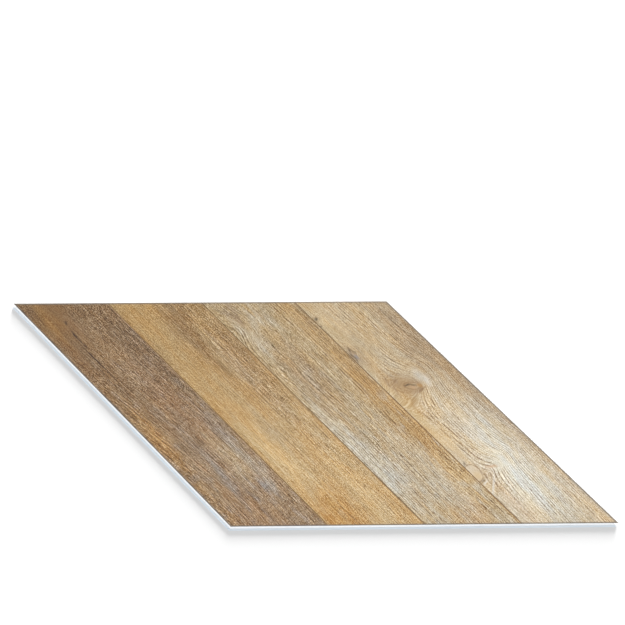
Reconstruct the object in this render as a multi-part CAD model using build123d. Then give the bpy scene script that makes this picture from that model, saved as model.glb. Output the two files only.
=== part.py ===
"""Chevron vinyl floor plank: a parallelogram board with click-lock edges.

Millimetres. The origin is the centre of the printed face, dropped to the underside.
+X runs along the two long edges, +Y from the front edge to the back edge, +Z up.
A drop lock runs round the board: the left and front edges carry a lip that stands out
past the face, and the right and back edges are cut under to hook over a neighbour's lip.
"""
from build123d import *
import math
import os

# Face of the board: strips laid side by side, cut off at a slant by the long edges
strip_width = 92.0
strip_count = 4
strip_angle = 45.0
plank_width = 305.0
thickness = 5.0

# Lip edges: a thin lip, a channel along the joint and a ridge at the lip's outer side
lip_reach = 5.4
lip_thickness = 1.4
channel_width = 2.5
ridge_rise = 1.2
ridge_lean = 0.4
ridge_chamfer = 0.5

# Snap: a bead on each hook edge drops past the joint into a groove in the edge it meets
bead_radius = 0.3
bead_drop = 1.8

# Gap left all round between a hook and the lip it drops onto
lock_clearance = 0.1

# Eased edges of the face, and the V-grooves that part the strips
bevel_width = 1.0
bevel_depth = 0.6
groove_width = 1.6
groove_depth = 0.5

# How far a cut runs past the material it removes
overcut = 2.0

slant = math.radians(strip_angle)
half_span = strip_count * strip_width / 2
half_width = plank_width / 2
long_edge = strip_count * strip_width / math.sin(slant)
strip_length = plank_width / math.sin(slant)
cut_length = long_edge + strip_length
ridge_top = lip_thickness + ridge_rise
lip_end_gap = lip_reach + lock_clearance
bead_height = thickness - bead_drop
cut_top = thickness + overcut

# Outward directions of the four edges
right = Vector(math.sin(slant), math.cos(slant), 0)
left = -right
back = Vector(0, 1, 0)
front = -back


def corner(across, y):
    """Point of the plan at a distance across the strips from the middle one, at depth y."""
    return ((across - y * math.cos(slant)) / math.sin(slant), y)


def blank():
    """The face's outline with a lip on two edges, each stopped short of the hook edge it nears."""
    outline = Polygon(
        corner(-half_span, half_width),
        corner(-half_span, half_width - lip_end_gap),
        corner(-half_span - lip_reach, half_width - lip_end_gap),
        corner(-half_span - lip_reach, -half_width - lip_reach),
        corner(half_span - lip_end_gap, -half_width - lip_reach),
        corner(half_span - lip_end_gap, -half_width),
        corner(half_span, -half_width),
        corner(half_span, half_width),
        align=None,
    )
    return extrude(outline, amount=thickness)


def joint_plane(outward, distance):
    """Section plane across an edge: its X points out of the joint, its Y points up."""
    return Plane(
        origin=outward * distance,
        x_dir=outward,
        z_dir=outward.cross(Vector(0, 0, 1)),
    )


def along_edge(section_plane, section):
    """Carry a section along the whole line of an edge, past both of its ends."""
    return extrude(section_plane * section, amount=cut_length, both=True)


def lip_section():
    """What is milled away above a lip: down the joint, along the channel and over the ridge."""
    outside = lip_reach + overcut
    return Polygon(
        (0, cut_top),
        (0, lip_thickness),
        (channel_width, lip_thickness),
        (channel_width + ridge_lean, ridge_top),
        (lip_reach - ridge_chamfer, ridge_top),
        (lip_reach, ridge_top - ridge_chamfer),
        (outside, ridge_top - ridge_chamfer),
        (outside, cut_top),
        align=None,
    )


def hook_section():
    """What is milled away under a hook: the lip of a neighbour, grown by the clearance."""
    tongue_bottom = lip_thickness + lock_clearance
    groove_roof = ridge_top + lock_clearance
    return Polygon(
        (overcut, -overcut),
        (overcut, tongue_bottom),
        (lock_clearance - channel_width, tongue_bottom),
        (lock_clearance - channel_width - ridge_lean, groove_roof),
        (-lip_end_gap, groove_roof),
        (-lip_end_gap, -overcut),
        align=None,
    )


def snap_section(radius):
    """Round section on the joint face, at the height of the snap."""
    return Pos(0, bead_height) * Circle(radius)


def bevel_section():
    """Slope that eases an edge of the face."""
    return Polygon(
        (-bevel_width, thickness),
        (0, thickness - bevel_depth),
        (overcut, thickness - bevel_depth),
        (overcut, cut_top),
        (-bevel_width, cut_top),
        align=None,
    )


def groove_section():
    """V-shaped cut that parts two strips."""
    half_groove = groove_width / 2
    return Polygon(
        (0, thickness - groove_depth),
        (half_groove, thickness),
        (half_groove, cut_top),
        (-half_groove, cut_top),
        (-half_groove, thickness),
        align=None,
    )


def right_bead(edge):
    """Snap bead of the right edge, ending flush with the joints at the front and back."""
    outside = half_span + bead_radius + overcut
    stretch = Polygon(
        corner(0, -half_width),
        corner(outside, -half_width),
        corner(outside, half_width),
        corner(0, half_width),
        align=None,
    )
    return along_edge(edge, snap_section(bead_radius)) & extrude(stretch, amount=thickness)


def back_bead(edge):
    """Snap bead of the back edge, ending flush with the joints at the left and right."""
    outside = half_width + bead_radius + overcut
    stretch = Polygon(
        corner(-half_span, 0),
        corner(half_span, 0),
        corner(half_span, outside),
        corner(-half_span, outside),
        align=None,
    )
    return along_edge(edge, snap_section(bead_radius)) & extrude(stretch, amount=thickness)


left_joint = joint_plane(left, half_span)
front_joint = joint_plane(front, half_width)
right_joint = joint_plane(right, half_span)
back_joint = joint_plane(back, half_width)

plank = blank() + right_bead(right_joint) + back_bead(back_joint)
for lip_joint in (left_joint, front_joint):
    plank -= along_edge(lip_joint, lip_section())
    plank -= along_edge(lip_joint, snap_section(bead_radius + lock_clearance))
for hook_joint in (right_joint, back_joint):
    plank -= along_edge(hook_joint, hook_section())
for joint in (left_joint, front_joint, right_joint, back_joint):
    plank -= along_edge(joint, bevel_section())
for number in range(1, strip_count):
    strip_line = joint_plane(right, number * strip_width - half_span)
    plank -= along_edge(strip_line, groove_section())

os.makedirs("parts", exist_ok=True)
export_step(plank, "parts/plank.step")
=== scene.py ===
"""Chevron vinyl floor plank: the dressed board, its oak print and the studio it is shown in.

The file is laid out as an add-on and run as a script. Lengths are in metres, as in the frame.
The print's own places and sizes are in millimetres, along and across one strip of the face.
"""
import math
from typing import NamedTuple

import bmesh
import bpy
import numpy as np
from bpy.props import FloatProperty, FloatVectorProperty, IntProperty, PointerProperty
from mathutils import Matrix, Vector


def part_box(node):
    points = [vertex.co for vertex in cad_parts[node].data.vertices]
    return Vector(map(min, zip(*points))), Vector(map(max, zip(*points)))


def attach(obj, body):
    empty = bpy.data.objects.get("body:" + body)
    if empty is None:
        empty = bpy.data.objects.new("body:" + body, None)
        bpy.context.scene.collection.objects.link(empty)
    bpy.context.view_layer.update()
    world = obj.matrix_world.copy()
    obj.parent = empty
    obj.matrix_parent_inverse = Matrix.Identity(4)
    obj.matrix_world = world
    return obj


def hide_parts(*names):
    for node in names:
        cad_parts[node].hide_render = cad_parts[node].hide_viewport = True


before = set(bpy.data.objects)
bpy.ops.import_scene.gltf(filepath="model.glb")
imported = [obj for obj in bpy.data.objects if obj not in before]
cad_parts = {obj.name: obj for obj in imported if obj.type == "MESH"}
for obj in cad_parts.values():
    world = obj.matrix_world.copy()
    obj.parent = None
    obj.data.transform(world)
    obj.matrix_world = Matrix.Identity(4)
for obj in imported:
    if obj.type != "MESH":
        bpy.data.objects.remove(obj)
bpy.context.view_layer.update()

bl_info = {
    "name": "Chevron Vinyl Plank",
    "version": (1, 0, 0),
    "blender": (4, 5, 0),
    "location": "View3D > Sidebar > Floor Plank",
    "description": "Builds a click-lock vinyl floor plank with an oak strip print",
    "category": "Add Mesh",
}

MM = 0.001
NODE = "plank"
BODY = "root"
BOARD_LOW, BOARD_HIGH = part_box(NODE)

# Light that a level face gets from the whole studio: the oak tones are given as they look under it
FACE_LIGHT = 1.5

# Millimetres that keep the strips' places apart, so that marks stay on their own strip
STRIP_APART = 1000.0

# Millimetres along a strip where its ground starts and stops turning from the back to the front tone. The
# front tones are lighter, partly the wood's own tone and partly painted light
TURN_START, TURN_END = 20.0, 460.0

# Millimetres between two grain lines, and how far noise moves the grain and the marks
LINE_GAP = 2.9
RIPPLE_REACH = 5.0
MARK_REACH = 3.0

# Share of the pores that show
PORE_FILL = 0.4

# Feature sizes of the print's patterns in millimetres: along the grain, across it and between strips
RIPPLE_SIZE = (18.0, 6.0, 1.0)
CAST_SIZE = (60.0, 14.0, 1.0)
WANDER_SIZE = (160.0, 14.0, 1.0)
DASH_SIZE = (9.0, 1.6, 1.0)
CLUSTER_SIZE = (50.0, 12.0, 1.0)
PORE_SIZE = (9.0, 0.9, 1.0)
MARK_SIZE = (7.0, 3.5, 1.0)

# Feature sizes of the core's and the floor's patterns in metres
MILL_SIZE = (0.004, 0.004, 0.0003)
SPECK_SIZE = (0.0011, 0.0011, 0.0011)
CLOUD_SIZE = (0.9, 0.9, 0.9)

# Points this close are one, smaller faces are left out, heights this close are the same
SAME_POINT = 2e-6
LEAST_AREA = 1e-13
SAME_HEIGHT = 1e-9

# Faces whose middles lie lower than this are the underside
UNDERSIDE = 1e-6

# Edges that turn more sharply than this stay crisp
CRISP_ANGLE = math.radians(18.0)


def length(name, description, default):
    """A size that a user can set, in metres."""
    return FloatProperty(
        name=name,
        description=description,
        default=default,
        min=0.0,
        precision=5,
        unit="LENGTH",
    )


def tone(name, description, red, green, blue):
    """A colour that a user can set, given as a screen colour from 0 to 255."""
    return FloatVectorProperty(
        name=name,
        description=description,
        default=(red / 255, green / 255, blue / 255),
        min=0.0,
        max=1.0,
        subtype="COLOR_GAMMA",
    )


def aim(name, description, default):
    """A direction towards a light, which a user can set."""
    return FloatVectorProperty(name=name, description=description, default=default, subtype="DIRECTION")


def spread(name, description, degrees):
    """The width of a light in the sky, which a user can set."""
    return FloatProperty(name=name, description=description, default=math.radians(degrees), subtype="ANGLE")


class PlankSizes(bpy.types.PropertyGroup):
    """Sizes of the board, its lock edges and its face."""

    strip_count: IntProperty(name="Strips", description="Oak strips on the face", default=4, min=1)
    strip_width: length("Strip width", "Width of one oak strip", 0.092)
    strip_angle: FloatProperty(
        name="Strip angle",
        description="Slant of the strips from the long edges",
        default=math.radians(45.0),
        subtype="ANGLE",
    )
    plank_width: length("Plank width", "From the front joint to the back joint", 0.305)
    thickness: length("Thickness", "From the underside to the face", BOARD_HIGH.z - BOARD_LOW.z)
    lip_reach: length("Lip reach", "How far a lip stands out past its joint", 0.0054)
    lip_thickness: length("Lip thickness", "Thickness of a lip under its channel", 0.0014)
    channel_width: length("Channel width", "Flat floor of a lip's channel", 0.0025)
    ridge_rise: length("Ridge rise", "Height of a lip's ridge over its channel", 0.0012)
    ridge_lean: length("Ridge lean", "Run of the ridge's sloped inner side", 0.0004)
    ridge_chamfer: length("Ridge chamfer", "Chamfer on the ridge's outer corner", 0.0005)
    bead_radius: length("Bead radius", "Radius of the snap bead on a hook edge", 0.0003)
    bead_drop: length("Bead drop", "Depth of the snap below the face", 0.0018)
    lock_clearance: length("Lock clearance", "Gap between a hook and the lip in it", 0.0001)
    bevel_width: length("Bevel width", "Width of the eased edge of the face", 0.0010)
    bevel_depth: length("Bevel depth", "Depth of the eased edge of the face", 0.0006)
    groove_width: length("Groove width", "Width of the V-groove between two strips", 0.0016)
    groove_depth: length("Groove depth", "Depth of the V-groove between two strips", 0.0005)
    emboss_depth: length("Emboss depth", "Depth of the pressed grain of the face", 0.00012)


class OakTones(bpy.types.PropertyGroup):
    """Colours of the print and of the core."""

    umber: tone("Umber", "Back end of the smoked strip", 134, 103, 69)
    driftwood: tone("Driftwood", "Front end of the smoked strip", 159, 131, 99)
    ochre: tone("Ochre", "Yellow-brown stain", 161, 121, 66)
    russet: tone("Russet", "Red-brown stain", 154, 114, 78)
    bark: tone("Bark", "Darkest broad stain", 112, 86, 62)
    mauve: tone("Mauve", "Cool brown stain", 150, 129, 110)
    slate: tone("Slate", "Blue-grey streaks", 150, 146, 146)
    honey: tone("Honey", "Back end of the golden strip", 182, 149, 99)
    wheat: tone("Wheat", "Front end of the golden strip", 202, 170, 121)
    straw: tone("Straw", "Pale yellow streaks", 219, 190, 142)
    toffee: tone("Toffee", "Brown wash", 154, 121, 80)
    amber: tone("Amber", "Orange stain", 194, 147, 80)
    oatmeal: tone("Oatmeal", "Back end of the silvered strip", 187, 164, 127)
    linen: tone("Linen", "Front end of the silvered strip", 195, 175, 143)
    silver: tone("Silver", "Weathered pale stain", 208, 206, 199)
    caramel: tone("Caramel", "Golden-brown stain", 190, 156, 106)
    rose: tone("Rose", "Pinkish stain", 207, 169, 131)
    tan: tone("Tan", "Plain brown stain", 176, 150, 118)
    sand: tone("Sand", "Back end of the pale strip", 199, 177, 143)
    cream: tone("Cream", "Front end of the pale strip", 221, 204, 179)
    chalk: tone("Chalk", "White streaks", 236, 236, 231)
    knot: tone("Knot", "Brown rings of a knot", 134, 98, 64)
    crack: tone("Crack", "Dark cracks and pin knots", 70, 50, 36)
    grain: tone("Grain", "Tint of the grain lines and pores", 150, 124, 100)
    warm: tone("Warm cast", "Tint of the warm patches", 255, 248, 230)
    cool: tone("Cool cast", "Tint of the cool patches", 247, 250, 250)
    groove: tone("Groove", "Brown line between two strips", 140, 106, 68)
    # Grey-brown of the painted eased edges, also used as painted shade along the hook edges
    seam: tone("Seam", "Grey-brown of the eased edges", 116, 110, 102)
    core: tone("Core", "White vinyl of the lock edges and underside", 249, 251, 253)
    core_shade: tone("Core shade", "Mill marks and specks of the core", 232, 236, 241)
    # Painted shade: a greyer, bluer white laid on the lips' outer halves, where the lip lies in shade
    ridge: tone("Ridge", "Greyer white of the lips' outer halves", 204, 216, 226)


class StudioSettings(bpy.types.PropertyGroup):
    """Camera, light and floor of the studio."""

    camera_place: FloatVectorProperty(
        name="Camera place",
        description="Where the camera stands",
        default=(-0.007943, -0.050448, 1.123929),
        subtype="TRANSLATION",
        unit="LENGTH",
    )
    camera_turn: FloatVectorProperty(
        name="Camera turn",
        description="Turn of a camera that first looks straight down",
        default=(math.radians(9.503), math.radians(-0.533), math.radians(-0.486)),
        subtype="EULER",
    )
    lens: FloatProperty(name="Lens", description="Focal length in millimetres", default=46.831)
    sky_strength: FloatProperty(name="Sky", description="Even light from all sides", default=0.5)
    low_aim: aim("Low light from", "Where the low light behind the board stands", (0.225, 0.946, 0.235))
    low_strength: FloatProperty(name="Low light", description="Strength of the low light", default=7.75)
    low_spread: spread("Low light width", "How soft the low light's shadow is", 21.0)
    high_aim: aim("High light from", "Where the high light stands", (-0.12, -0.28, 0.95))
    high_strength: FloatProperty(name="High light", description="Strength of the high light", default=1.39)
    high_spread: spread("High light width", "How soft the high light's shadow is", 45.0)
    floor_side: length("Floor side", "Side of the square floor", 40.0)
    floor_gap: length("Floor gap", "How far the floor lies under the board", 0.0001)
    floor_tone: tone("Floor", "Pale studio floor", 217, 217, 217)
    floor_cloud: tone("Floor cloud", "Faint unevenness of the floor", 219, 219, 219)


# The oak print: what each strip of the face shows


class Figure(NamedTuple):
    """How strongly the wood's figure shows: grain lines, streaks, pores, and how far the lines ripple."""

    lines: float
    streaks: float
    pores: float
    ripple: float


class Patch(NamedTuple):
    """A place with a figure of its own: the figure, its middle, its half length and half width."""

    figure: Figure
    along: float
    across: float
    half_length: float
    half_width: float


class Stain(NamedTuple):
    """A soft patch of colour: its tone, its middle, its half length and half width, and its strength."""

    tone: str
    along: float
    across: float
    half_length: float
    half_width: float
    strength: float


class Bend(NamedTuple):
    """A place that grain lines part around: its middle, its reach and how far it pushes the lines."""

    along: float
    across: float
    half_length: float
    half_width: float
    push: float


class Mark(NamedTuple):
    """A spot, crack or ring: its tone, middle, half sizes, turn in degrees, softness and strength."""

    tone: str
    along: float
    across: float
    half_length: float
    half_width: float
    turn: float
    softness: float
    strength: float
    ring: bool = False


class Strip(NamedTuple):
    """One oak strip: its ground from back to front, its blotches, its figure and all that lies on it."""

    back: str
    front: str
    warm: str
    cool: str
    mottle: float
    figure: Figure
    patches: tuple
    stains: tuple
    bends: tuple
    marks: tuple


class Weave(NamedTuple):
    """Soft noise on a strip: its features' length and width, its seed and how far it moves a place."""

    length: float
    width: float
    seed: int
    reach: float = 0.0


class Shade(NamedTuple):
    """A layer of light and dark wood: the sizes of its features, its detail and its depth."""

    size: tuple
    detail: float
    depth: float


SMOKED = Strip(
    back="umber",
    front="driftwood",
    warm="russet",
    cool="slate",
    mottle=0.3,
    figure=Figure(lines=1.15, streaks=1.2, pores=0.75, ripple=0.2),
    patches=(
        Patch(Figure(0.1, 0.3, 0.15, 0.6), 66, 26, 75, 26),
        Patch(Figure(1.5, 1.0, 0.5, 0.15), 330, 30, 170, 12),
    ),
    stains=(
        Stain("bark", 15, 5, 24, 8, 0.5),
        Stain("bark", 64, 43, 16, 7, 0.3),
        Stain("ochre", 60, 16, 34, 12, 0.5),
        Stain("russet", 85, 36, 28, 9, 0.3),
        Stain("ochre", 275, 9, 90, 12, 0.6),
        Stain("ochre", 400, 9, 75, 10, 0.45),
        Stain("driftwood", 165, 51, 75, 12, 0.75),
        Stain("russet", 265, 60, 80, 14, 0.5),
        Stain("slate", 368, 39, 40, 7, 0.65),
        Stain("tan", 366, 62, 46, 10, 0.8),
        Stain("linen", 375, 69, 46, 8, 0.5),
        Stain("amber", 285, 11, 45, 9, 0.45),
        Stain("slate", 350, 76, 55, 6, 0.4),
        Stain("linen", 388, 80, 40, 7, 0.3),
        Stain("slate", 428, 70, 24, 6, 0.9),
        Stain("bark", 215, 82, 45, 6, 0.25),
        Stain("mauve", 300, 34, 50, 6, 0.4),
        Stain("russet", 450, 34, 50, 28, 0.35),
        Stain("knot", 130, 10, 75, 9, 0.45),
        Stain("bark", 175, 78, 55, 8, 0.5),
        Stain("bark", 115, 21, 35, 5, 0.3),
        Stain("linen", 350, 66, 26, 6, 0.4),
        Stain("tan", 360, 27, 45, 8, 0.4),
        Stain("silver", 408, 80, 26, 8, 0.25),
    ),
    bends=(
        Bend(55, 18, 22, 14, 6),
        Bend(430, -45, 220, 90, 40),
    ),
    marks=(
        Mark("crack", 72.5, 32.5, 3.2, 1.4, -15, 0.8, 0.75),
        Mark("crack", 94.5, 29.2, 5, 1.1, 0, 0.5, 1.0),
        Mark("crack", 98, 29.4, 14, 0.8, -2, 0.6, 0.85),
        Mark("crack", 116, 29.4, 5, 0.8, 0, 0.6, 0.85),
        Mark("crack", 142, 26.8, 30, 0.9, 1.5, 0.5, 1.0),
    ),
)
GOLDEN = Strip(
    back="honey",
    front="wheat",
    warm="caramel",
    cool="linen",
    mottle=0.3,
    figure=Figure(lines=0.7, streaks=0.85, pores=0.4, ripple=0.15),
    patches=(
        Patch(Figure(0.4, 0.7, 0.2, 0.2), 190, 16, 200, 20),
        Patch(Figure(0.9, 1.1, 0.6, 0.2), 220, 76, 230, 16),
    ),
    stains=(
        Stain("straw", 325, 18, 62, 13, 0.8),
        Stain("amber", 440, 20, 38, 22, 0.95),
        Stain("toffee", 128, 50, 76, 11, 0.85),
        Stain("toffee", 80, 64, 30, 12, 0.85),
        Stain("toffee", 115, 38, 35, 8, 0.4),
        Stain("tan", 175, 66, 45, 6, 0.5),
        Stain("toffee", 175, 82, 75, 10, 0.75),
        Stain("toffee", 95, 2, 90, 4, 0.3),
        Stain("tan", 225, 66, 62, 11, 0.6),
        Stain("linen", 300, 38, 35, 8, 0.4),
        Stain("straw", 435, 64, 55, 10, 0.85),
        Stain("amber", 345, 3, 90, 5, 0.2),
        Stain("straw", 352, 27, 40, 8, 0.45),
        Stain("bark", 108, 54, 55, 7, 0.25),
    ),
    bends=(
        Bend(215, 70, 100, 30, 4),
        Bend(420, 30, 30, 24, 4),
    ),
    marks=(),
)
SILVERED = Strip(
    back="oatmeal",
    front="linen",
    warm="caramel",
    cool="silver",
    mottle=0.4,
    figure=Figure(lines=1.2, streaks=0.75, pores=0.6, ripple=0.6),
    patches=(
        Patch(Figure(0.8, 0.85, 0.5, 1.2), 115, 35, 55, 30),
        Patch(Figure(1.5, 0.95, 0.5, 0.9), 330, 36, 95, 20),
        Patch(Figure(1.1, 0.7, 0.7, 0.3), 250, 82, 220, 12),
    ),
    stains=(
        Stain("mauve", 38, 22, 14, 9, 0.7),
        Stain("silver", 73, 40, 18, 9, 0.5),
        Stain("tan", 185, 25, 56, 14, 0.7),
        Stain("tan", 168, 43, 44, 8, 0.5),
        Stain("silver", 315, 9, 88, 10, 0.85),
        Stain("silver", 370, 22, 60, 9, 0.4),
        Stain("caramel", 200, 82, 160, 12, 0.8),
        Stain("caramel", 340, 74, 70, 12, 0.6),
        Stain("toffee", 352, 80, 30, 6, 0.3),
        Stain("toffee", 175, 87, 70, 6, 0.35),
        Stain("amber", 350, 78, 85, 11, 0.3),
        Stain("cream", 425, 66, 55, 9, 0.55),
        Stain("straw", 432, 77, 36, 12, 0.55),
        Stain("rose", 470, 55, 40, 20, 0.3),
        Stain("toffee", 205, 44, 40, 8, 0.3),
        Stain("toffee", 152, 26, 30, 8, 0.3),
        Stain("toffee", 325, 67, 20, 6, 0.15),
        Stain("amber", 310, 87, 60, 6, 0.35),
        Stain("silver", 385, 45, 70, 18, 0.25),
        Stain("silver", 85, 18, 30, 10, 0.4),
        Stain("cream", 330, 57, 45, 6, 0.4),
        Stain("chalk", 335, 4, 75, 5, 0.35),
    ),
    bends=(
        Bend(66, -8, 30, 26, 16),
        Bend(152, 13, 14, 12, 5),
        Bend(300, 45, 70, 25, -4),
        Bend(390, 98, 60, 30, 8),
    ),
    marks=(),
)
PALE = Strip(
    back="sand",
    front="cream",
    warm="rose",
    cool="silver",
    mottle=0.15,
    figure=Figure(lines=1.2, streaks=0.75, pores=0.4, ripple=0.25),
    patches=(
        Patch(Figure(0.25, 0.45, 0.15, 0.3), 250, 5, 240, 11),
        Patch(Figure(0.35, 0.5, 0.2, 0.3), 70, 16, 70, 16),
        Patch(Figure(0.0, 0.35, 0.1, 0.3), 194, 24, 30, 18),
        Patch(Figure(0.1, 0.45, 0.1, 0.2), 357, 36, 9, 9),
        Patch(Figure(0.8, 0.85, 0.5, 0.2), 200, 84, 200, 12),
    ),
    stains=(
        Stain("straw", 75, 9, 45, 9, 0.4),
        Stain("tan", 118, 8, 26, 8, 0.45),
        Stain("straw", 250, 10, 60, 12, 0.45),
        Stain("cream", 330, 16, 85, 14, 0.6),
        Stain("caramel", 200, 22, 36, 13, 0.6),
        Stain("amber", 200, 13, 66, 11, 0.2),
        Stain("cream", 280, 42, 60, 20, 0.7),
        Stain("chalk", 390, 43, 70, 20, 0.95),
        Stain("silver", 440, 58, 45, 18, 0.5),
        Stain("linen", 490, 58, 26, 18, 0.6),
        Stain("cream", 320, 62, 50, 10, 0.5),
        Stain("silver", 305, 58, 45, 10, 0.7),
        Stain("chalk", 412, 66, 36, 8, 0.5),
        Stain("tan", 250, 89, 260, 5, 0.5),
        Stain("silver", 200, 49, 18, 7, 0.4),
        Stain("tan", 150, 80, 90, 13, 0.8),
        Stain("tan", 160, 64, 60, 8, 0.4),
        Stain("tan", 245, 83, 60, 9, 0.6),
        Stain("tan", 335, 84, 40, 7, 0.4),
        Stain("cream", 48, 26, 34, 10, 0.35),
        Stain("rose", 405, 14, 40, 8, 0.25),
        Stain("straw", 225, 4, 60, 6, 0.5),
        Stain("cream", 345, 7, 40, 9, 0.4),
        Stain("silver", 475, 46, 30, 22, 0.5),
        Stain("chalk", 318, 50, 40, 12, 0.5),
        Stain("silver", 325, 76, 55, 13, 0.35),
        Stain("cream", 390, 79, 50, 9, 0.45),
        Stain("caramel", 222, 15, 22, 8, 0.4),
        Stain("tan", 168, 66, 25, 6, 0.4),
        Stain("toffee", 165, 85, 40, 8, 0.2),
    ),
    bends=(
        Bend(197, 14, 34, 36, 30),
        Bend(225, 20, 70, 40, 7),
        Bend(352, 6, 20, 44, 11),
        Bend(372, 10, 100, 52, 14),
        Bend(110, 0, 24, 22, 7),
        Bend(40, 4, 12, 9, 5),
    ),
    marks=(
        Mark("crack", 40, 4.5, 2.6, 2.2, 0, 0.6, 0.75),
        Mark("knot", 40, 4.5, 5.0, 4.0, 0, 0.35, 0.3, True),
        Mark("crack", 52, 1.5, 2.0, 1.2, 30, 0.7, 0.5),
        Mark("mauve", 112, 4.5, 14, 5.0, 0, 0.9, 0.45),
        Mark("crack", 104, 5.5, 5.0, 1.0, -20, 0.9, 0.6),
        Mark("crack", 112, 3.0, 5.5, 1.0, 10, 0.9, 0.6),
        Mark("slate", 117, 6.0, 4.0, 1.6, 0, 0.9, 0.8),
        Mark("crack", 120, 3.0, 4.0, 0.9, -15, 0.9, 0.6),
        Mark("crack", 109, 8.5, 4.5, 0.9, 15, 0.9, 0.45),
        Mark("toffee", 137.5, 12.2, 1.8, 1.3, 0, 0.7, 0.6),
        Mark("tan", 191, 26, 28, 11, 31, 0.8, 0.5),
        Mark("toffee", 198, 30, 15, 7, 36, 0.9, 0.35),
        Mark("knot", 189, 25, 26, 11.5, 30, 0.13, 0.25, True),
        Mark("knot", 194, 27.5, 19, 8, 33, 0.16, 0.3, True),
        Mark("knot", 199, 31, 11.5, 4.8, 38, 0.26, 0.45, True),
        Mark("knot", 178, 19, 4.0, 2.4, 20, 0.9, 0.5),
        Mark("knot", 184, 11.8, 8.0, 1.2, -14, 0.9, 0.45),
        Mark("rose", 202, 30.5, 4.5, 2.0, 40, 0.8, 0.5),
        Mark("crack", 193.4, 26.5, 3.2, 1.1, 58, 0.9, 0.75),
        Mark("crack", 198, 32, 5.5, 1.0, 36, 0.9, 0.55),
        Mark("knot", 212.3, 36.5, 5.5, 1.3, 84, 0.9, 0.65),
        Mark("amber", 206, 38.5, 4.0, 2.2, 25, 0.8, 0.45),
        Mark("silver", 195, 48, 11, 5.0, 0, 0.9, 0.45),
        Mark("chalk", 209, 51, 8, 3.5, -20, 0.9, 0.4),
        Mark("crack", 322.5, 3.5, 3.2, 1.8, -40, 0.8, 0.5),
        Mark("cream", 340, 3.0, 13, 9.0, 0, 0.3, 0.6),
        Mark("straw", 346, 5.0, 7, 5.0, 20, 0.8, 0.6),
        Mark("knot", 340, 3.0, 14, 9.6, 0, 0.1, 0.55, True),
        Mark("knot", 338, 12.8, 7.5, 0.9, -3, 0.9, 0.55),
        Mark("rose", 351, 27.5, 7, 1.8, 48, 0.9, 0.7),
        Mark("crack", 356, 5.5, 1.7, 2.4, 0, 0.9, 0.55),
        Mark("chalk", 359.5, 5.5, 1.1, 3.5, 0, 0.9, 0.5),
        Mark("toffee", 366.5, 10, 12, 1.0, -52, 0.9, 0.3),
        Mark("chalk", 370.5, 9.5, 13, 1.3, -52, 0.9, 0.5),
        Mark("toffee", 377, 10, 12, 1.1, -50, 0.9, 0.3),
    ),
)
STRIPS = (SMOKED, GOLDEN, SILVERED, PALE)

# Drift of the grain lines, frayed edges of the stains, blotches over them, and the pressed scores
DRIFT = Weave(150, 70, 40, 7.0)
FRAY_ALONG = Weave(55, 5, 60, 46.0)
FRAY_ACROSS = Weave(60, 9, 80, 8.0)
BLOTCHES = Weave(16, 4, 140)
SCORES = Weave(26, 1.7, 100)
SCORE_PATCHES = Weave(70, 11, 120)

# Broad bands, hairlines, dashes and flecks
SHADES = (
    Shade((80.0, 7.0, 1.0), 2.0, 0.04),
    Shade((30.0, 0.9, 1.0), 1.0, 0.18),
    Shade((8.0, 0.8, 1.0), 1.0, 0.16),
    Shade((1.7, 1.0, 1.0), 1.0, 0.42),
)


def linear(colour):
    """Scene-linear values of a screen colour, by the sRGB curve."""
    screen = np.asarray(colour, dtype=float)
    return np.where(screen <= 0.04045, screen / 12.92, ((screen + 0.055) / 1.055) ** 2.4)


def oak_paint(colour):
    """Surface colour that shows as the given screen colour under the studio's light."""
    return linear(colour) / FACE_LIGHT


def smooth_step(low, high, value):
    """Rise from 0 at low to 1 at high with level ends: 3 x squared less 2 x cubed."""
    share = np.clip((value - low) / (high - low), 0.0, 1.0)
    return share * share * (3.0 - 2.0 * share)


def lattice_noise(weave, number, along, across):
    """Soft noise from 0 to 1: random heights on a square lattice, eased between the four nearest."""
    side = 256
    u = along / weave.length
    v = across / weave.width
    heights = np.random.default_rng(weave.seed + number).random((side, side))
    column = np.floor(u).astype(int)
    row = np.floor(v).astype(int)
    ease_u = smooth_step(0.0, 1.0, u - column)
    ease_v = smooth_step(0.0, 1.0, v - row)
    left, right = column % side, (column + 1) % side
    low, high = row % side, (row + 1) % side
    near = heights[left, low] * (1 - ease_u) + heights[right, low] * ease_u
    far = heights[left, high] * (1 - ease_u) + heights[right, high] * ease_u
    return near * (1 - ease_v) + far * ease_v


def sway(weave, number, along, across):
    """How far noise moves a place to and fro: its reach times the noise less a half."""
    return weave.reach * (lattice_noise(weave, number, along, across) - 0.5)


def soft_patch(spot, along, across):
    """Weight of an oval patch: 1 at its middle, falling as a flat-topped bell past its half sizes."""
    u = (along - spot.along) / spot.half_length
    v = (across - spot.across) / spot.half_width
    return np.exp(-(u * u + v * v) ** 1.3)


class EdgePair(NamedTuple):
    """Two facing edges, a lip and a hook: their joints' distance from the middle, and their run.

    The run reaches as far as the other pair's joints. The lines cross it, and the lip ends on one
    of them. The sides run in depth, and the ends run across the strips.
    """

    joint: float
    run: float
    lines: np.ndarray
    lip_end: int
    runs_across: bool


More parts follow.
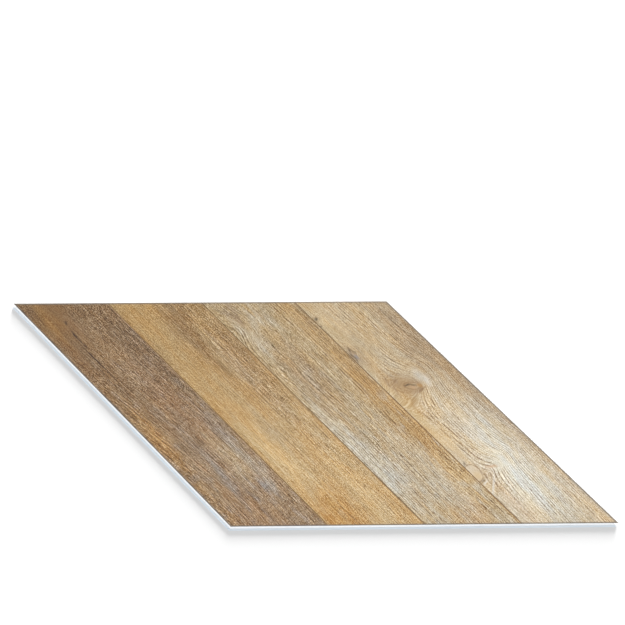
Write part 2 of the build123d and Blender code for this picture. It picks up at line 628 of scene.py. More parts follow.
class Board:
    """Lines and sections of the plank, worked out from its sizes."""

    cells_across = 110
    cells_along = 172
    arc_steps = 7

    def __init__(self, sizes):
        self.sizes = sizes
        self.slant = sizes.strip_angle
        self.half_span = sizes.strip_count * sizes.strip_width / 2
        self.half_width = sizes.plank_width / 2
        self.edge_height = sizes.thickness - sizes.bevel_depth
        self.end_gap = sizes.lip_reach + sizes.lock_clearance
        self.ridge_top = sizes.lip_thickness + sizes.ridge_rise
        self.roof = self.ridge_top + sizes.lock_clearance
        self.snap_height = sizes.thickness - sizes.bead_drop
        self.across_lines, self.across_heights = self.lines_across()
        self.depth_lines, self.depth_heights = self.lines_in_depth()
        self.lip_column = int(np.argmin(np.abs(self.across_lines - (self.half_span - self.end_gap))))
        self.lip_row = int(np.argmin(np.abs(self.depth_lines - (self.half_width - self.end_gap))))
        self.across_lines[self.lip_column] = self.half_span - self.end_gap
        self.depth_lines[self.lip_row] = self.half_width - self.end_gap
        self.sides = EdgePair(self.half_span, self.half_width, self.depth_lines, self.lip_row, False)
        self.ends = EdgePair(self.half_width, self.half_span, self.across_lines, self.lip_column, True)

    def at(self, across, depth, height):
        """Points from the distance across the strips, the depth y and the height: x = (a - y cos) / sin."""
        across, depth, height = np.broadcast_arrays(across, depth, height)
        x = (across - depth * math.cos(self.slant)) / math.sin(self.slant)
        return np.stack((x, depth, height), axis=-1)

    def on_edge(self, pair, out, along, height):
        """Points from the distance out towards an edge, the place along its run and the height."""
        across, depth = (along, out) if pair.runs_across else (out, along)
        return self.at(across, depth, height)

    def across_of(self, points):
        """Distance of points across the strips, from the middle of the board: x sin + y cos."""
        return points[..., 0] * math.sin(self.slant) + points[..., 1] * math.cos(self.slant)

    def lines_across(self):
        """Lines along the strips, closely spaced, with a line on each slope's top and bottom."""
        sizes = self.sizes
        count = sizes.strip_count
        lines = [np.array([-self.half_span])]
        heights = [np.array([self.edge_height])]
        for number in range(count):
            start = number * sizes.strip_width - self.half_span
            first = sizes.bevel_width if number == 0 else sizes.groove_width / 2
            last = sizes.bevel_width if number == count - 1 else sizes.groove_width / 2
            flat = np.linspace(start + first, start + sizes.strip_width - last, self.cells_across + 1)
            bottom = self.edge_height if number == count - 1 else sizes.thickness - sizes.groove_depth
            lines += [flat, np.array([start + sizes.strip_width])]
            heights += [np.full(flat.size, sizes.thickness), np.array([bottom])]
        return np.concatenate(lines), np.concatenate(heights)

    def lines_in_depth(self):
        """Lines along the long edges, with a line on the top and bottom of each eased edge."""
        inner = self.half_width - self.sizes.bevel_width
        flat = np.linspace(-inner, inner, self.cells_along + 1)
        lines = np.concatenate(([-self.half_width], flat, [self.half_width]))
        heights = np.full(lines.size, self.sizes.thickness)
        heights[[0, -1]] = self.edge_height
        return lines, heights

    def snap_arc(self, radius):
        """Half circle of the snap, from its top to its bottom, as offsets out of the joint and heights."""
        angle = np.linspace(math.pi / 2, -math.pi / 2, self.arc_steps)
        return radius * np.cos(angle), self.snap_height + radius * np.sin(angle)

    def lip_wall(self):
        """Joint face over a lip: down from the eased edge, round the snap groove and on to the lip."""
        offset, height = self.snap_arc(self.sizes.bead_radius + self.sizes.lock_clearance)
        offset = np.concatenate(([0.0], -offset, [0.0, 0.0]))
        height = np.concatenate(([self.edge_height], height, [self.roof, self.sizes.lip_thickness]))
        return offset, height

    def lip(self):
        """Lip from the joint outwards: channel floor, ridge, chamfer and outer side."""
        sizes = self.sizes
        ridge = sizes.channel_width + sizes.ridge_lean
        corner = self.ridge_top - sizes.ridge_chamfer
        reach = sizes.lip_reach
        shoulder = reach - sizes.ridge_chamfer
        offset = np.array([0.0, sizes.channel_width, ridge, shoulder, reach, reach, reach])
        thin = sizes.lip_thickness
        height = np.array([thin, thin, self.ridge_top, self.ridge_top, corner, thin, 0.0])
        return offset, height

    def hook_wall(self):
        """Joint face of a hook: down from the eased edge and round the snap bead."""
        offset, height = self.snap_arc(self.sizes.bead_radius)
        return np.concatenate(([0.0], offset)), np.concatenate(([self.edge_height], height))

    def hook(self):
        """Undercut of a hook from the joint inwards: tongue, sloped side, roof and inner side."""
        sizes = self.sizes
        tongue = sizes.lip_thickness + sizes.lock_clearance
        inner = sizes.channel_width - sizes.lock_clearance
        offset = -np.array([0.0, inner, inner + sizes.ridge_lean, self.end_gap, self.end_gap, self.end_gap])
        height = np.array([tongue, tongue, self.roof, self.roof, sizes.lip_thickness, 0.0])
        return offset, height


def print_place(board, points, strip):
    """Millimetres along and across a strip for points of the face, from the strip's back corner."""
    sizes = board.sizes
    sine, cosine = math.sin(board.slant), math.cos(board.slant)
    across = board.across_of(points)
    along = points[..., 0] * cosine - points[..., 1] * sine
    left = strip * sizes.strip_width - board.half_span
    back = (left - board.half_width * cosine) / sine * cosine - board.half_width * sine
    return (along - back) / MM, (across - left) / MM


def strip_number(board, points):
    """Number of the strip that each point lies on, counted from the left."""
    across = board.across_of(points)
    number = np.floor((across + board.half_span) / board.sizes.strip_width)
    return np.clip(number, 0, board.sizes.strip_count - 1).astype(int)


def grain_across(strip, number, along, across):
    """Place of a point among the grain lines: its place across, less the push of each bend near it.

    A bend pushes lines away from its middle by its push times a peak along the strip, whose
    logarithm falls as a hyperbola, and a hump across it. Slow noise lets the lines drift.
    """
    grain = across + sway(DRIFT, number, along, across)
    for bend in strip.bends:
        u = (along - bend.along) / bend.half_length
        v = (across - bend.across) / bend.half_width
        peak = np.exp(1.0 - np.sqrt(1.0 + 4.0 * u * u))
        grain = grain - bend.push * peak * np.tanh(1.5 * v) * np.exp(-0.5 * v * v)
    return grain


def figure_at(strip, along, across):
    """Strength of each part of the figure: the strip's own, blended to that of each patch near it."""
    figure = np.tile(np.array(strip.figure), (along.size, 1))
    for patch in strip.patches:
        weight = soft_patch(patch, along, across)[:, None]
        figure = figure * (1 - weight) + np.array(patch.figure) * weight
    return figure


def stain_colour(tones, strip, number, along, across, grain):
    """Colour of the ground: from the back tone to the lighter front tone, with each stain laid over it. The
    lightening towards the front is partly the wood's own tone and partly painted light.

    Noise drawn out along the grain frays the edges of the stains. Small warm and cool blotches
    that follow the grain lie over them, more of them towards the front.
    """
    frayed_along = along + sway(FRAY_ALONG, number, along, across)
    frayed_across = across + sway(FRAY_ACROSS, number, along, across)
    back, front = (oak_paint(getattr(tones, name)) for name in (strip.back, strip.front))
    share = smooth_step(TURN_START, TURN_END, frayed_along)[:, None]
    colour = back * (1 - share) + front * share
    for stain in strip.stains:
        weight = (stain.strength * soft_patch(stain, frayed_along, frayed_across))[:, None]
        colour = colour * (1 - weight) + oak_paint(getattr(tones, stain.tone)) * weight
    blotches = lattice_noise(BLOTCHES, number, along, grain)[:, None]
    for name, start, full in ((strip.warm, 0.6, 0.95), (strip.cool, 0.4, 0.05)):
        weight = strip.mottle * (0.1 + 0.9 * share) * smooth_step(start, full, blotches)
        colour = colour * (1 - weight) + oak_paint(getattr(tones, name)) * weight
    return colour


def emboss(board, points):
    """Depth of the pressed grain: long shallow scores along the grain lines, deeper in patches."""
    number = strip_number(board, points)
    depth = np.zeros(points.shape[:-1])
    for index, strip in enumerate(STRIPS):
        along, across = print_place(board, points, index)
        grain = grain_across(strip, index, along, across)
        scores = lattice_noise(SCORES, index, along, grain)
        patches = lattice_noise(SCORE_PATCHES, index, along, grain)
        depth = np.where(number == index, smooth_step(0.5, 0.9, scores) * (0.35 + 0.65 * patches), depth)
    return board.sizes.emboss_depth * depth


def face_sheet(board):
    """The printed face: a close grid as high as the lower of its two lines' slopes, less the emboss."""
    height = np.minimum(board.across_heights[:, None], board.depth_heights[None, :])
    points = board.at(board.across_lines[:, None], board.depth_lines[None, :], height)
    level = height >= board.sizes.thickness - SAME_HEIGHT
    inside = np.zeros_like(level)
    inside[1:-1, 1:-1] = level[:-2, 1:-1] & level[2:, 1:-1] & level[1:-1, :-2] & level[1:-1, 2:]
    points[..., 2] -= emboss(board, points) * (level & inside)
    return points


def lip_sheets(board, pair):
    """A lip edge: its sections carried from the other lip edge's joint to the end of the lip."""
    sheets = []
    for offset, height in (board.lip_wall(), board.lip()):
        stations = np.tile(pair.lines[: pair.lip_end + 1], (offset.size, 1))
        stations[:, 0] = -pair.run - np.minimum(offset, 0.0)
        sheets.append(board.on_edge(pair, -pair.joint - offset[:, None], stations, height[:, None]))
    return sheets


def lip_corner_sheet(board):
    """Where the two lips cross: each height is the lower of the two sections, as both cuts run through."""
    offset, height = board.lip()
    offset = np.concatenate(([0.0], offset))
    height = np.concatenate(([board.edge_height], height))
    lower = np.minimum(height[:, None], height[None, :])
    return board.at(-board.half_span - offset[:, None], -board.half_width - offset[None, :], lower)


def hook_sheets(board, pair):
    """A hook edge: its joint face up to the other one's, and its undercut up to the other undercut."""
    offset, height = board.hook_wall()
    stations = np.tile(pair.lines, (offset.size, 1))
    stations[:, -1] = pair.run + offset
    wall = board.on_edge(pair, pair.joint + offset[:, None], stations, height[:, None])
    offset, height = hook_below_bead(board)
    under = pair.lines[None, : pair.lip_end + 1]
    return [wall, board.on_edge(pair, pair.joint + offset[:, None], under, height[:, None])]


def hook_below_bead(board):
    """Undercut of a hook with the short joint face between the bead and the tongue."""
    offset, height = board.hook()
    under_bead = board.snap_height - board.sizes.bead_radius
    return np.concatenate(([0.0], offset)), np.concatenate(([under_bead], height))


def hook_corner_sheet(board):
    """Where the two undercuts cross: each height is the higher of the two sections."""
    offset, height = board.hook()
    higher = np.maximum(height[:, None], height[None, :])
    return board.at(board.half_span + offset[:, None], board.half_width + offset[None, :], higher)


def hook_corner_cap(board, pair):
    """Flat end of a hook edge's joint face, at the corner where the other undercut runs through it."""
    offset, height = board.hook()
    notch = np.maximum(height[0], height)[:-1]
    under_bead = board.snap_height - board.sizes.bead_radius
    along = np.concatenate((pair.lines[pair.lip_end:], pair.run + offset[:-1]))
    outline = np.concatenate((np.full(along.size - notch.size, under_bead), notch))
    return board.on_edge(pair, pair.joint, along, outline)


def joint_end(board, stations, joint):
    """Outline of a lip edge's joint face past its lip: along the top, down the hook and up the wall."""
    hook_offset, hook_height = board.hook()
    bead_offset, bead_height = board.hook_wall()
    wall_offset, wall_height = board.lip_wall()
    on_joint = wall_offset > -SAME_HEIGHT
    below_top = wall_height < board.edge_height - SAME_HEIGHT
    upward = np.flatnonzero(on_joint & below_top)[-2::-1]
    place = np.concatenate((
        stations,
        joint + bead_offset[1:],
        joint + hook_offset[:4],
        np.full(upward.size - 1, joint - board.end_gap),
    ))
    height = np.concatenate((
        np.full(stations.size, board.edge_height),
        bead_height[1:],
        hook_height[:4],
        wall_height[upward[1:]],
    ))
    return place, height


def lip_end_caps(board, pair):
    """Flat ends at a pointed corner: the joint face past the lip, and the ends of the lip and snap."""
    lip_offset, lip_height = board.lip()
    end_offset = np.concatenate((lip_offset, [0.0]))
    end_height = np.concatenate((lip_height, [0.0]))
    groove_offset, groove_height = board.snap_arc(board.sizes.bead_radius + board.sizes.lock_clearance)
    lip_end = pair.run - board.end_gap
    along, height = joint_end(board, pair.lines[pair.lip_end:], pair.run)
    return [
        board.on_edge(pair, -pair.joint, along, height),
        board.on_edge(pair, -pair.joint - end_offset, lip_end, end_height),
        board.on_edge(pair, -pair.joint + groove_offset, lip_end, groove_height),
    ]


def underside_cap(board):
    """The flat underside: one outline through every point where the edges reach the floor."""
    lip_lines = board.lip()[0][-3:0:-1]
    across = np.concatenate((-board.half_span - lip_lines, board.across_lines[: board.lip_column + 1]))
    depth = np.concatenate((-board.half_width - lip_lines, board.depth_lines[: board.lip_row + 1]))
    low_across, high_across = -board.half_span - board.sizes.lip_reach, board.half_span - board.end_gap
    low_depth, high_depth = -board.half_width - board.sizes.lip_reach, board.half_width - board.end_gap
    return np.concatenate((
        board.at(across, low_depth, 0.0),
        board.at(high_across, board.depth_lines[: board.lip_row + 1], 0.0),
        board.at(board.across_lines[: board.lip_column][::-1], high_depth, 0.0),
        board.at(low_across, depth[:0:-1], 0.0),
    ))


def sheet_faces(sheet, start):
    """Corner numbers of a grid's four-sided faces, without those that have shrunk to nothing."""
    rows, columns = sheet.shape[:2]
    index = np.arange(rows * columns).reshape(rows, columns)
    around = (index[:-1, :-1], index[1:, :-1], index[1:, 1:], index[:-1, 1:])
    quads = np.stack(around, axis=-1).reshape(-1, 4)
    corner = sheet.reshape(-1, 3)[quads]
    area = np.linalg.norm(np.cross(corner[:, 2] - corner[:, 0], corner[:, 3] - corner[:, 1]), axis=-1)
    return quads[area > LEAST_AREA] + start


def joined_mesh(name, sheets, caps):
    """One mesh from grids of points and flat outlines, with shared points merged and faces outwards."""
    points = []
    faces = []
    count = 0
    for sheet in sheets:
        faces += sheet_faces(sheet, count).tolist()
        points.append(sheet.reshape(-1, 3))
        count += len(points[-1])
    for outline in caps:
        faces.append(list(range(count, count + len(outline))))
        points.append(outline)
        count += len(outline)
    mesh = bpy.data.meshes.new(name)
    mesh.from_pydata(np.concatenate(points).tolist(), [], faces)
    work = bmesh.new()
    work.from_mesh(mesh)
    bmesh.ops.remove_doubles(work, verts=work.verts, dist=SAME_POINT)
    bmesh.ops.recalc_face_normals(work, faces=work.faces)
    work.to_mesh(mesh)
    work.free()
    return mesh


def corner_points(mesh):
    """Each face corner's point, each face's middle and each corner's face, as whole arrays."""
    co = np.empty(len(mesh.vertices) * 3, dtype=np.float32)
    mesh.vertices.foreach_get("co", co)
    vertex = np.empty(len(mesh.loops), dtype=np.int32)
    mesh.loops.foreach_get("vertex_index", vertex)
    corners = np.empty(len(mesh.polygons), dtype=np.int32)
    mesh.polygons.foreach_get("loop_total", corners)
    middle = np.empty(len(mesh.polygons) * 3, dtype=np.float32)
    mesh.polygons.foreach_get("center", middle)
    points = co.reshape(-1, 3).astype(float)[vertex]
    return points, middle.reshape(-1, 3).astype(float), np.repeat(np.arange(corners.size), corners)


def write_corners(mesh, name, kind, values):
    """Store one value for each face corner under a name that the materials read."""
    layer = mesh.attributes.new(name, kind, "CORNER")
    field = {"FLOAT_VECTOR": "vector", "FLOAT_COLOR": "color"}[kind]
    layer.data.foreach_set(field, np.ascontiguousarray(values, dtype=np.float32).ravel())


def edge_distances(board, points):
    """Millimetres from a point of the face to the nearest eased edge, groove and hook edge."""
    across = board.across_of(points)
    eased = np.minimum(board.half_span - np.abs(across), board.half_width - np.abs(points[:, 1]))
    hook = np.minimum(board.half_span - across, board.half_width - points[:, 1])
    in_strip = np.mod(across + board.half_span, board.sizes.strip_width)
    groove = np.minimum(in_strip, board.sizes.strip_width - in_strip)
    return np.stack((eased, groove, hook), axis=-1) / MM


def write_print(board, tones, mesh):
    """Lay the oak print on the mesh: grain places, ground colours, figure and edge distances.

    The underside spans the whole board with one face, so it holds no edge distance.
    """
    points, middle, face = corner_points(mesh)
    number = strip_number(board, middle)[face]
    grain = np.zeros((len(points), 3))
    place = np.zeros((len(points), 3))
    ground = np.ones((len(points), 4))
    figure = np.zeros((len(points), 4))
    for index, strip in enumerate(STRIPS):
        own = number == index
        along, across = print_place(board, points[own], index)
        apart = np.full(along.size, STRIP_APART * index)
        line = grain_across(strip, index, along, across)
        grain[own] = np.stack((along + apart, line, apart), axis=-1)
        place[own] = np.stack((along, across, apart), axis=-1)
        ground[own, :3] = stain_colour(tones, strip, index, along, across, line)
        figure[own] = figure_at(strip, along, across)
    write_corners(mesh, "grain", "FLOAT_VECTOR", grain)
    write_corners(mesh, "place", "FLOAT_VECTOR", place)
    write_corners(mesh, "ground", "FLOAT_COLOR", ground)
    write_corners(mesh, "figure", "FLOAT_COLOR", figure)
    edge = edge_distances(board, points)
    edge[middle[face, 2] < UNDERSIDE] = 0.0
    write_corners(mesh, "edge", "FLOAT_VECTOR", edge)
    material = np.where(middle[:, 2] > board.edge_height, 0, 1)
    mesh.polygons.foreach_set("material_index", material.astype(np.int32))


class Wiring:
    """Adds nodes to a material's tree and wires them."""

    def __init__(self, material):
        self.tree = material.node_tree

    def node(self, kind, inputs, **settings):
        """A new node with its settings, and its inputs wired or set."""
        made = self.tree.nodes.new(kind)
        for name, value in settings.items():
            setattr(made, name, value)
        for socket, value in inputs.items():
            if isinstance(value, bpy.types.NodeSocket):
                self.tree.links.new(value, made.inputs[socket])
            else:
                made.inputs[socket].default_value = value
        return made

    def attribute(self, name):
        """Outputs of a value that the mesh holds for each face corner."""
        return self.node("ShaderNodeAttribute", {}, attribute_name=name).outputs

    def number(self, operation, *values):
        """Arithmetic on numbers."""
        return self.node("ShaderNodeMath", dict(enumerate(values)), operation=operation).outputs[0]

    def vector(self, operation, first, second):
        """Arithmetic on vectors."""
        made = self.node("ShaderNodeVectorMath", {0: first, 1: second}, operation=operation)
        return made.outputs["Value" if operation == "LENGTH" else "Vector"]

    def scaled(self, vector, factor):
        """A vector or colour times a number."""
        made = self.node("ShaderNodeVectorMath", {0: vector, "Scale": factor}, operation="SCALE")
        return made.outputs["Vector"]

    def parts(self, vector):
        """The three numbers of a vector or colour."""
        return self.node("ShaderNodeSeparateXYZ", {0: vector}).outputs

    def sideways(self, across):
        """A vector that moves a place across the grain only."""
        return self.node("ShaderNodeCombineXYZ", {1: across}).outputs[0]

    def noise(self, place, size, detail):
        """Noise from 0 to 1 whose features have the given size along, across and between strips."""
        stretched = self.vector("DIVIDE", place, size)
        inputs = {"Vector": stretched, "Scale": 1.0, "Detail": detail, "Roughness": 0.55}
        return self.node("ShaderNodeTexNoise", inputs).outputs[0]

    def rise(self, value, low, high, start=0.0, end=1.0):
        """Smooth rise from start to end as the value goes from low to high."""
        limits = {"Value": value, "From Min": low, "From Max": high, "To Min": start, "To Max": end}
        return self.node("ShaderNodeMapRange", limits, interpolation_type="SMOOTHSTEP").outputs[0]

    def mix(self, share, first, second, blend="MIX"):
        """Second colour laid over the first by a share."""
        inputs = {0: share, 6: first, 7: second}
        return self.node("ShaderNodeMix", inputs, data_type="RGBA", blend_type=blend).outputs[2]


def opaque(colour):
    """A linear colour as a socket takes it, with full alpha."""
    return (*colour, 1.0)


def new_material(name):
    """An empty node material with its shader and its wiring."""
    material = bpy.data.materials.new(name)
    material.use_nodes = True
    shader = material.node_tree.nodes["Principled BSDF"]
    return material, shader, Wiring(material)


def rippled_grain(wiring, place, ripple):
    """Places among the grain lines, moved a little sideways by noise so that the lines waver."""
    noise = wiring.noise(place, RIPPLE_SIZE, 2.0)
    rippled = wiring.number("MULTIPLY", wiring.number("SUBTRACT", noise, 0.5), ripple)
    shift = wiring.sideways(wiring.number("MULTIPLY", rippled, RIPPLE_REACH))
    return wiring.vector("ADD", wiring.attribute("grain")["Vector"], shift)


def wood_shade(wiring, grain, colour, strength):
    """The colour made light and dark along the grain by bands, hairlines, dashes and flecks.

    Their sum is laid on as a power of the colour, so that light wood is paler and dark wood richer.
    """
    total = 0.0
    for shade in SHADES:
        noise = wiring.noise(grain, shade.size, shade.detail)
        layer = wiring.rise(noise, 0.35, 0.65, shade.depth, -shade.depth)
        total = wiring.number("ADD", layer, total)
    power = wiring.number("EXPONENT", wiring.number("MULTIPLY", total, strength))
    return wiring.node("ShaderNodeGamma", {"Color": colour, "Gamma": power}).outputs[0]


def grain_lines(wiring, grain):
    """Grain lines: a dark line at each step of the line gap, wandering, in clusters, broken into dashes.

    The second value is the light wood midway between two lines, broken in the same way.
    """
    wander = wiring.noise(grain, WANDER_SIZE, 2.0)
    step = wiring.number("DIVIDE", wiring.parts(grain)[1], LINE_GAP)
    phase = wiring.number("MULTIPLY_ADD", wander, 3.0, step)
    away = wiring.number("PINGPONG", phase, 0.5)
    dashes = wiring.rise(wiring.noise(grain, DASH_SIZE, 1.0), 0.36, 0.58)
    clusters = wiring.rise(wiring.noise(grain, CLUSTER_SIZE, 1.0), 0.36, 0.6, 0.45, 1.0)
    shown = wiring.number("MULTIPLY", dashes, clusters)
    dark = wiring.number("MULTIPLY", wiring.rise(away, 0.0, 0.2, 1.0, 0.0), shown)
    light = wiring.number("MULTIPLY", wiring.rise(away, 0.25, 0.45), shown)
    return dark, light


def pores(wiring, grain):
    """Short dark pores: long cells strewn along the grain, dark round their middles, some left out."""
    inputs = {"Vector": wiring.vector("DIVIDE", grain, PORE_SIZE), "Scale": 1.0}
    cells = wiring.node("ShaderNodeTexVoronoi", inputs, voronoi_dimensions="2D").outputs
    kept = wiring.rise(wiring.parts(cells["Color"])[0], 1.0 - PORE_FILL, 1.2 - PORE_FILL)
    return wiring.number("MULTIPLY", wiring.rise(cells["Distance"], 0.12, 0.5, 1.0, 0.0), kept)


def mark_share(wiring, place, mark, number):
    """How far a mark covers a point: its distance from the mark's middle, measured in half sizes."""
    offset = wiring.vector("SUBTRACT", place, (mark.along, mark.across, STRIP_APART * number))
    inputs = {"Vector": offset, "Angle": math.radians(-mark.turn)}
    turned = wiring.node("ShaderNodeVectorRotate", inputs, rotation_type="Z_AXIS").outputs[0]
    scaled = wiring.vector("DIVIDE", turned, (mark.half_length, mark.half_width, 1.0))
    distance = wiring.vector("LENGTH", scaled, (0.0, 0.0, 0.0))
    if mark.ring:
        distance = wiring.number("ABSOLUTE", wiring.number("SUBTRACT", distance, 1.0))
        return wiring.rise(distance, 0.0, mark.softness, mark.strength, 0.0)
    return wiring.rise(distance, 1.0 - mark.softness, 1.0 + mark.softness, mark.strength, 0.0)


def with_marks(wiring, place, colour, tones):
    """The colour with every strip's knots, cracks and flecks over it, their outlines a little uneven."""
    uneven = wiring.number("SUBTRACT", wiring.noise(place, MARK_SIZE, 2.0), 0.5)
    swayed = wiring.vector("ADD", place, wiring.sideways(wiring.number("MULTIPLY", uneven, MARK_REACH)))
    for number, strip in enumerate(STRIPS):
        for mark in strip.marks:
            share = mark_share(wiring, swayed, mark, number)
            colour = wiring.mix(share, colour, opaque(oak_paint(getattr(tones, mark.tone))))
    return colour


def with_seams_and_hook_shade(wiring, colour, tones):
    """The colour darkened in the grooves and on the eased edges, and once more along the hook edges as
    painted shade of the board's side.
    """
    edge = wiring.parts(wiring.attribute("edge")["Vector"])
    seams = (
        (edge[1], 0.3, 1.4, 0.72, tones.groove),
        (edge[0], 0.6, 3.0, 0.7, tones.seam),
        # Painted shade: the hook edges darkened once more, standing in for the shade of the board's side
        (edge[2], 1.0, 3.4, 0.5, tones.seam),
    )
    for distance, full, clear, strength, stain in seams:
        share = wiring.rise(distance, full, clear, strength, 0.0)
        colour = wiring.mix(share, colour, opaque(oak_paint(stain)))
    return colour


def oak_print_material(tones):
    """Matt oak print: stained ground, streaks, grain lines, pores and marks, darker at the edges."""
    material, shader, wiring = new_material("oak_print")
    place = wiring.attribute("place")["Vector"]
    figure = wiring.attribute("figure")
    line_strength, streak_strength, pore_strength = wiring.parts(figure["Color"])
    grain = rippled_grain(wiring, place, figure["Alpha"])
    patches = wiring.rise(wiring.noise(grain, CAST_SIZE, 3.0), 0.34, 0.66)
    cast = wiring.mix(patches, opaque(linear(tones.warm)), opaque(linear(tones.cool)))
    colour = wiring.mix(1.0, wiring.attribute("ground")["Color"], cast, "MULTIPLY")
    colour = wood_shade(wiring, grain, colour, streak_strength)
    dark_lines, light_gaps = grain_lines(wiring, grain)
    lines = wiring.number("MULTIPLY", dark_lines, line_strength)
    gaps = wiring.number("MULTIPLY", light_gaps, line_strength)
    colour = wiring.scaled(colour, wiring.number("MULTIPLY_ADD", gaps, 0.25, 1.0))
    pitted = wiring.number("MULTIPLY", pores(wiring, grain), pore_strength)
    dark = wiring.number("MULTIPLY_ADD", pitted, 0.8, lines)
    colour = wiring.mix(dark, colour, opaque(linear(tones.grain)), "MULTIPLY")
    colour = with_seams_and_hook_shade(wiring, with_marks(wiring, place, colour, tones), tones)
    bump = wiring.node("ShaderNodeBump", {"Height": dark, "Strength": 0.3, "Distance": 0.0002}, invert=True)
    wiring.tree.links.new(colour, shader.inputs["Base Color"])
    wiring.tree.links.new(bump.outputs[0], shader.inputs["Normal"])
    wiring.tree.links.new(wiring.rise(dark, 0.0, 0.8, 0.5, 0.65), shader.inputs["Roughness"])
    shader.inputs["Specular IOR Level"].default_value = 0.3
    return material


def core_material(tones):
    """White rigid vinyl of the milled edges and the underside, with faint mill marks and specks, and
    painted shade greying the lips' outer halves.
    """
    material, shader, wiring = new_material("white_core")
    place = wiring.node("ShaderNodeTexCoord", {}).outputs["Object"]
    marks = wiring.noise(place, MILL_SIZE, 3.0)
    specks = wiring.noise(place, SPECK_SIZE, 2.0)
    speckled = wiring.rise(specks, 0.55, 0.75, 0.0, 0.5)
    milled = wiring.rise(marks, 0.45, 0.8, 0.0, 0.5)
    share = wiring.number("ADD", speckled, milled)
    colour = wiring.mix(share, opaque(linear(tones.core)), opaque(linear(tones.core_shade)))
    inward = wiring.parts(wiring.attribute("edge")["Vector"])[0]
    # Painted shade: the lips' outer halves turn to the greyer ridge tone
    colour = wiring.mix(wiring.rise(inward, -3.4, -2.4, 0.85, 0.0), colour, opaque(linear(tones.ridge)))
    bump = wiring.node("ShaderNodeBump", {"Height": marks, "Strength": 0.15, "Distance": 0.0001})
    wiring.tree.links.new(colour, shader.inputs["Base Color"])
    wiring.tree.links.new(bump.outputs[0], shader.inputs["Normal"])
    wiring.tree.links.new(wiring.rise(marks, 0.2, 0.8, 0.42, 0.6), shader.inputs["Roughness"])
    shader.inputs["Specular IOR Level"].default_value = 0.35
    return material


def floor_material(settings):
    """Plain pale floor with the faintest unevenness."""
    material, shader, wiring = new_material("studio_floor")
    place = wiring.node("ShaderNodeTexCoord", {}).outputs["Object"]
    cloud = wiring.noise(place, CLOUD_SIZE, 2.0)
    colour = wiring.mix(cloud, opaque(linear(settings.floor_tone)), opaque(linear(settings.floor_cloud)))
    wiring.tree.links.new(colour, shader.inputs["Base Color"])
    shader.inputs["Roughness"].default_value = 0.9
    shader.inputs["Specular IOR Level"].default_value = 0.0
    return material


class MESH_OT_chevron_plank(bpy.types.Operator):
    """Build the plank as one closed board with its oak print and white lock edges"""

    bl_idname = "mesh.chevron_plank"
    bl_label = "Build Plank"

    def execute(self, context):
        board = Board(context.scene.plank_sizes)
        tones = context.scene.oak_tones
        sheets = [face_sheet(board), lip_corner_sheet(board), hook_corner_sheet(board)]
        caps = [underside_cap(board)]
        for pair in (board.sides, board.ends):
            sheets += lip_sheets(board, pair) + hook_sheets(board, pair)
            caps += lip_end_caps(board, pair) + [hook_corner_cap(board, pair)]
        mesh = joined_mesh("chevron_plank", sheets, caps)
        mesh.materials.append(oak_print_material(tones))
        mesh.materials.append(core_material(tones))
        write_print(board, tones, mesh)
        mesh.polygons.foreach_set("use_smooth", np.ones(len(mesh.polygons), dtype=bool))
        mesh.set_sharp_from_angle(angle=CRISP_ANGLE)
        plank = bpy.data.objects.new("chevron_plank", mesh)
        context.scene.collection.objects.link(plank)
        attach(plank, BODY)
        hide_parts(NODE)
        return {"FINISHED"}


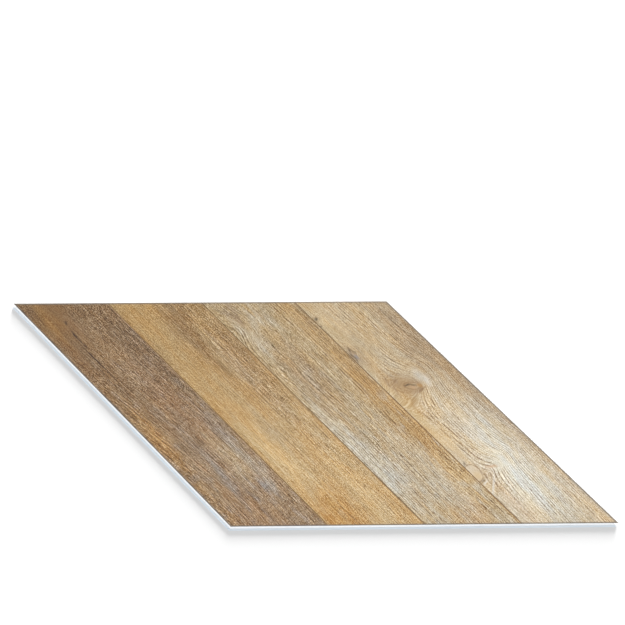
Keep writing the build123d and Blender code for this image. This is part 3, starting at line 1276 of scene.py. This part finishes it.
class SCENE_OT_plank_studio(bpy.types.Operator):
    """Set up the pale floor, the soft light and the camera"""

    bl_idname = "scene.plank_studio"
    bl_label = "Set Up Studio"

    def execute(self, context):
        scene = context.scene
        settings = scene.plank_studio
        self.lay_floor(scene, settings)
        for name in ("low", "high"):
            self.hang_light(scene, settings, name)
        self.light_sky(scene, settings)
        self.place_camera(scene, settings)
        scene.view_settings.view_transform = "Standard"
        return {"FINISHED"}

    def lay_floor(self, scene, settings):
        """A flat square grid just under the board."""
        side = np.linspace(-settings.floor_side / 2, settings.floor_side / 2, 9)
        x, y = np.meshgrid(side, side, indexing="ij")
        grid = np.stack((x, y, np.full_like(x, BOARD_LOW.z - settings.floor_gap)), axis=-1)
        floor = bpy.data.objects.new("studio_floor", joined_mesh("studio_floor", [grid], []))
        floor.data.materials.append(floor_material(settings))
        scene.collection.objects.link(floor)

    def hang_light(self, scene, settings, name):
        """A wide, far light, with the direction, strength and width that the settings hold for its name."""
        light = bpy.data.lights.new(f"{name}_light", "SUN")
        light.energy = getattr(settings, f"{name}_strength")
        light.angle = getattr(settings, f"{name}_spread")
        lamp = bpy.data.objects.new(f"{name}_light", light)
        lamp.rotation_euler = getattr(settings, f"{name}_aim").to_track_quat("Z", "Y").to_euler()
        scene.collection.objects.link(lamp)

    def light_sky(self, scene, settings):
        """Even white light from all sides."""
        world = bpy.data.worlds.new("studio_sky")
        world.use_nodes = True
        sky = world.node_tree.nodes["Background"]
        sky.inputs["Color"].default_value = (1.0, 1.0, 1.0, 1.0)
        sky.inputs["Strength"].default_value = settings.sky_strength
        scene.world = world

    def place_camera(self, scene, settings):
        """The camera, nearly straight over the board."""
        view = bpy.data.cameras.new("camera")
        view.lens = settings.lens
        camera = bpy.data.objects.new("camera", view)
        camera.location = settings.camera_place
        camera.rotation_euler = settings.camera_turn
        scene.collection.objects.link(camera)
        scene.camera = camera


class VIEW3D_PT_chevron_plank(bpy.types.Panel):
    """Sidebar panel that lists the steps and the sizes"""

    bl_idname = "VIEW3D_PT_chevron_plank"
    bl_label = "Chevron Plank"
    bl_space_type = "VIEW_3D"
    bl_region_type = "UI"
    bl_category = "Floor Plank"

    def draw(self, context):
        for operator in OPERATORS:
            self.layout.operator(operator.bl_idname)
        for group in (context.scene.plank_sizes, context.scene.oak_tones, context.scene.plank_studio):
            column = self.layout.column()
            for name in group.__annotations__:
                column.prop(group, name)


OPERATORS = (MESH_OT_chevron_plank, SCENE_OT_plank_studio)
GROUPS = {"plank_sizes": PlankSizes, "oak_tones": OakTones, "plank_studio": StudioSettings}
CLASSES = (*GROUPS.values(), *OPERATORS, VIEW3D_PT_chevron_plank)


def register():
    """Register the classes and hang the property groups on the scene."""
    for item in CLASSES:
        bpy.utils.register_class(item)
    for name, group in GROUPS.items():
        setattr(bpy.types.Scene, name, PointerProperty(type=group))


def unregister():
    """Take the property groups off the scene and unregister the classes."""
    for name in GROUPS:
        delattr(bpy.types.Scene, name)
    for item in reversed(CLASSES):
        bpy.utils.unregister_class(item)


def main():
    """Build the plank and the studio."""
    register()
    bpy.ops.mesh.chevron_plank()
    bpy.ops.scene.plank_studio()


if __name__ == "__main__":
    main()
